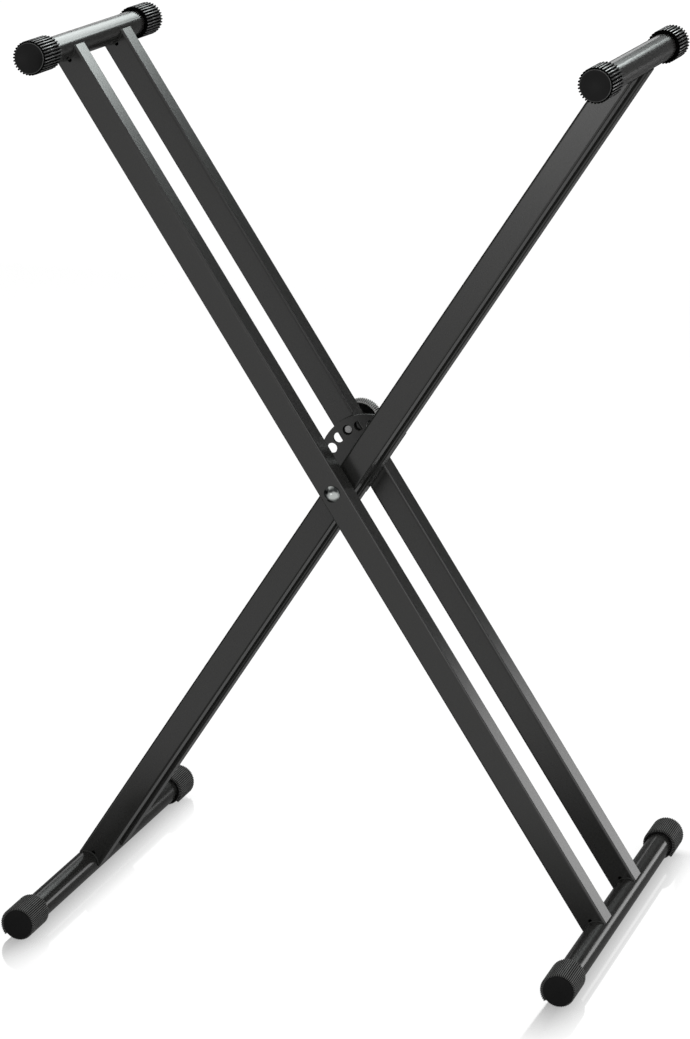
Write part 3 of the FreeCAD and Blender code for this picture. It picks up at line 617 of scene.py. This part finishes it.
CARD_Y = 2.9
CARD_SHADE = 0.16
CARD_PLACES = (
    # left and right edge, lower and upper edge of each dark card behind the stand
    (-3.0, 3.0, 0.0, 1.0),
    (-3.0, -1.75, 1.0, 1.5),
    (-1.15, -0.6, 1.0, 1.3),
    (-1.25, -0.7, 1.3, 1.5),
    (-0.3, 3.0, 1.0, 1.5),
    (-3.0, 3.0, 1.5, 1.95),
    (0.8, 3.0, 1.95, 3.0),
)
SOFTBOX_TINT = (0.93, 1, 0.985)
FILL_STRENGTH = 0.9
WHITE_STRENGTH = 1.0


def add_sheet(name, material, centre, across, up, camera_sees=True):
    """A flat sheet of the studio, given by its centre and half its two sides."""
    bm = bmesh.new()
    bmesh.ops.create_grid(bm, x_segments=1, y_segments=1, size=1)
    across = Vector(across)
    up = Vector(up)
    axes = Matrix((across, up, across.cross(up).normalized())).transposed().to_4x4()
    bmesh.ops.transform(bm, matrix=Matrix.Translation(centre) @ axes, verts=bm.verts)
    mesh = bpy.data.meshes.new(name)
    bm.to_mesh(mesh)
    bm.free()
    mesh.materials.append(material)
    sheet = bpy.data.objects.new(name, mesh)
    bpy.context.scene.collection.objects.link(sheet)
    sheet.visible_camera = camera_sees


def card_material():
    material, tree, output = new_material("dark_card")
    card = add_node(tree, "ShaderNodeBsdfDiffuse")
    card.inputs["Color"].default_value = (*grey(CARD_SHADE), 1)
    tree.links.new(card.outputs["BSDF"], output.inputs["Surface"])
    return material


def add_studio():
    """White floor, and dark cards outside the picture that keep the black coat from reflecting white."""
    half = FLOOR_SIZE / 2
    add_sheet("floor", floor_material(), (0, 0, 0), (half, 0, 0), (0, half, 0))
    card = card_material()
    for number, (left, right, low, high) in enumerate(CARD_PLACES):
        centre = ((left + right) / 2, CARD_Y, (low + high) / 2)
        add_sheet(f"card_behind_{number}", card, centre, ((right - left) / 2, 0, 0),
                  (0, 0, (high - low) / 2), camera_sees=False)
    add_sheet("card_left", card, centre=(-2.2, 0.4, 1.2), across=(0, 2.5, 0), up=(0, 0, 1.18),
              camera_sees=False)


def background(tree, strength):
    node = add_node(tree, "ShaderNodeBackground")
    node.inputs["Color"].default_value = (1, 1, 1, 1)
    node.inputs["Strength"].default_value = strength
    return node.outputs["Background"]


def set_world():
    """White where the camera or a reflection looks at it, and a plain soft fill for everything else."""
    world = bpy.data.worlds.new("studio")
    world.use_nodes = True
    tree = world.node_tree
    tree.nodes.clear()
    path = add_node(tree, "ShaderNodeLightPath")
    fill = background(tree, FILL_STRENGTH)
    white = background(tree, WHITE_STRENGTH)
    output = add_node(tree, "ShaderNodeOutputWorld")
    tree.links.new(mixed(tree, any_view_ray(tree, path), fill, white), output.inputs["Surface"])
    bpy.context.scene.world = world


def add_softbox(name, place, aim, width, height, radiance, tint=(1, 1, 1)):
    """A rectangular lamp that faces aim. radiance is how bright its face looks."""
    lamp = bpy.data.lights.new(name, "AREA")
    lamp.color = tint
    lamp.shape = "RECTANGLE"
    lamp.size = width
    lamp.size_y = height
    lamp.energy = radiance * math.pi * width * height
    box = bpy.data.objects.new(name, lamp)
    direction = Vector(aim) - Vector(place)
    box.matrix_world = Matrix.Translation(place) @ direction.to_track_quat("-Z", "Y").to_matrix().to_4x4()
    box.visible_camera = False
    bpy.context.scene.collection.objects.link(box)


add_studio()
set_world()
add_softbox("back_softbox_left", place=(-0.375, 2.5, 1.97), aim=(-0.375, 0, 1.97),
            width=1.55, height=0.54, radiance=3.9, tint=SOFTBOX_TINT)
add_softbox("back_softbox_right", place=(0.675, 2.5, 1.91), aim=(0.675, 0, 1.91),
            width=0.55, height=0.66, radiance=7.0, tint=SOFTBOX_TINT)
add_softbox("low_side_lamp", place=(1.47, 2.5, 0.3), aim=(0.2, 0, 0.2),
            width=0.62, height=0.6, radiance=2.5)
add_softbox("low_front_lamp", place=(-0.85, -4.5, 0.27), aim=(0, 0, 0.6),
            width=0.9, height=0.5, radiance=3.6)
add_softbox("right_front_softbox", place=(2.4, -1.1, 1.4), aim=(0, 0, 0.6),
            width=1.1, height=1.3, radiance=2.0)
bpy.context.scene.view_settings.view_transform = "Standard"
